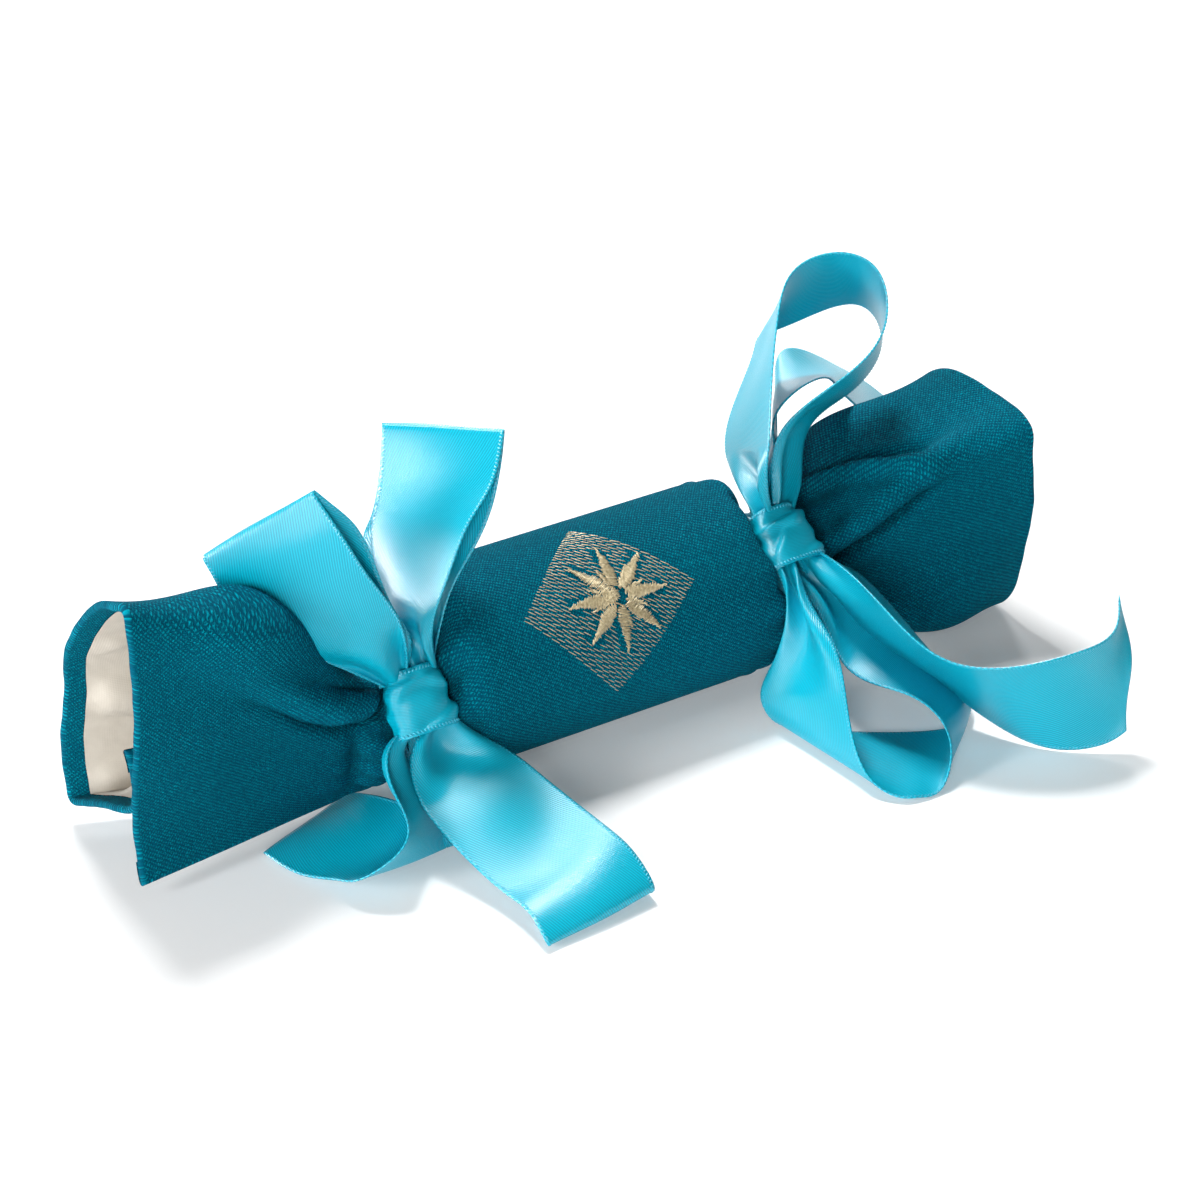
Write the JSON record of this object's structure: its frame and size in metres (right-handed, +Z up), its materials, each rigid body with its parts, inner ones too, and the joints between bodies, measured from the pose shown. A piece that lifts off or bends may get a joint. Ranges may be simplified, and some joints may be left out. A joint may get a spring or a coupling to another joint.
{
  "type": "christmas cracker",
  "caption": "Reusable cloth cracker: a lined velour cloth rolled round a card tube, gathered at both necks by satin ribbon bows, with a snap inside.",
  "frame": {"origin": "middle of the flat under the barrel, on the table", "axes": "+X along the tube, towards the end with the high loop; -Y towards the viewer of the embroidery; +Z up"},
  "size_m": [0.2059, 0.1087, 0.0928],
  "materials": {
    "velour": "brushed cotton velour, deep teal",
    "calico": "plain cream calico",
    "satin": "turquoise satin ribbon with woven edges",
    "gold_thread": "gold rayon thread, satin and running stitch",
    "tube_card": "wound grey-brown card, matte",
    "snap_card": "thin buff card, matte",
    "snap_compound": "dry dark compound, rough",
    "white_paper": "thin white paper, matte",
    "tissue_paper": "red tissue paper, folded",
    "die_plastic": "ivory moulded plastic"
  },
  "bodies": {
    "barrel": {"card_tube": "tube_card", "wrap_barrel": "velour", "lining_barrel": "calico", "left_neck_gather": "velour", "right_neck_gather": "velour", "left_ribbon_band": "satin", "left_knot": "satin", "left_loop_low": "satin", "left_loop_high": "satin", "left_tail_front": "satin", "left_tail_curl": "satin", "right_ribbon_band": "satin", "right_knot": "satin", "right_loop_high": "satin", "right_tail_back": "satin", "right_loop_low": "satin", "right_tail_front": "satin", "star_embroidery": "gold_thread", "diamond_stitching": "gold_thread", "paper_hat": "tissue_paper", "motto_slip": "white_paper", "gift_die": "die_plastic"},
    "left_end": {"wrap_left_end": "velour", "lining_left_end": "calico"},
    "right_end": {"wrap_right_end": "velour", "lining_right_end": "calico"},
    "left_snap": {"snap_left_strip": "snap_card", "snap_charge": "snap_compound"},
    "right_snap": {"snap_right_strip": "snap_card", "snap_striker": "snap_compound", "snap_sleeve": "white_paper"}
  },
  "joints": [
    {"name": "left_end_bend", "type": "hinge", "parent": "barrel", "child": "left_end", "pos_m": [-0.046, -0.002, 0.0155], "axis": [0, 0, -1], "range_deg": [0, 7], "deforming": ["left_neck_gather"]},
    {"name": "right_end_bend", "type": "hinge", "parent": "barrel", "child": "right_end", "pos_m": [0.046, -0.001, 0.019], "axis": [0, 0, 1], "range_deg": [0, 10], "deforming": ["right_neck_gather", "right_tail_back"]},
    {"name": "left_snap_pull", "type": "slide", "parent": "barrel", "child": "left_snap", "axis": [-1, 0, 0], "range_m": [0, 0.12], "deforming": ["left_neck_gather"]},
    {"name": "right_snap_pull", "type": "slide", "parent": "barrel", "child": "right_snap", "axis": [1, 0, 0], "range_m": [0, 0.112], "deforming": ["right_neck_gather"]}
  ]
}
